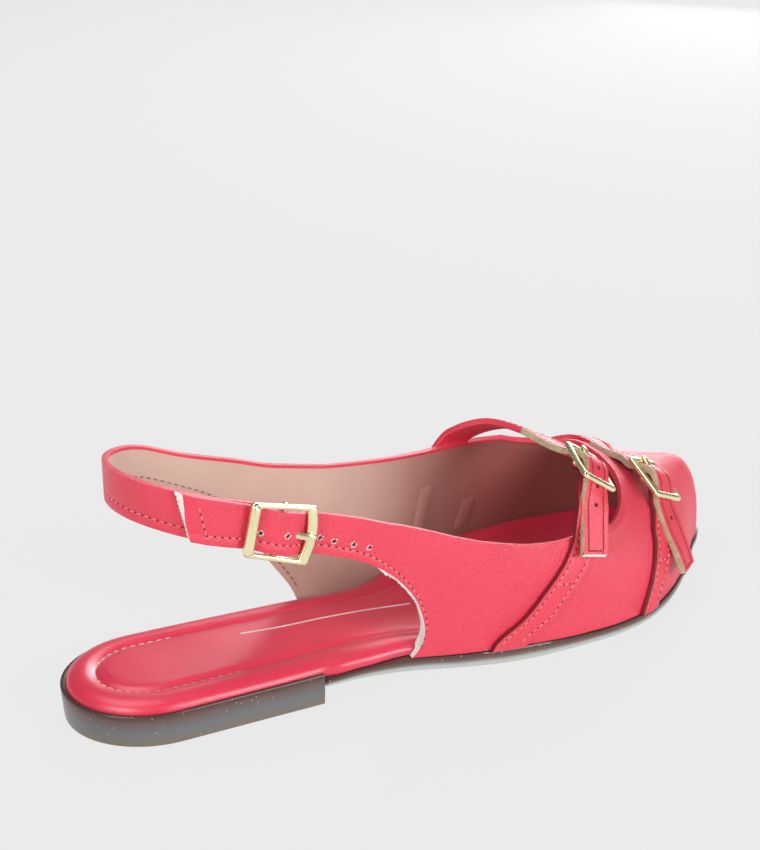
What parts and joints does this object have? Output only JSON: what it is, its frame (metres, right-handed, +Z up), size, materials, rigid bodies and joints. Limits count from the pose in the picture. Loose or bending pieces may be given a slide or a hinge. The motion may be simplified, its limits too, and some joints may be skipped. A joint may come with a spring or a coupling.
{
  "type": "slingback flat shoe",
  "caption": "Right-foot slingback flat in pebbled red leather: pointed toe, low block heel, padded insole, buckled straps over the throat and vamp, and a buckled strap round the heel.",
  "frame": {"origin": "middle of the shoe's footprint, on the floor", "axes": "+X to the toe, +Y to the medial (inner) side, +Z up"},
  "size_m": [0.2548, 0.083, 0.087],
  "materials": {
    "brown_rubber": "satin, slightly translucent",
    "insole_red": "smooth, soft sheen",
    "red_leather": "fine pebble grain, soft sheen",
    "pale_gold": "polished plating"
  },
  "bodies": {
    "root": {"outsole": "brown_rubber", "heel": "brown_rubber", "insole": "insole_red", "upper": "red_leather", "rear_strap": "red_leather", "rear_tab": "red_leather", "front_strap": "red_leather", "front_tab": "red_leather", "sling_buckle": "pale_gold", "rear_buckle": "pale_gold", "front_buckle": "pale_gold", "sling_prong": "pale_gold", "rear_prong": "pale_gold", "front_prong": "pale_gold"}
  },
  "joints": []
}
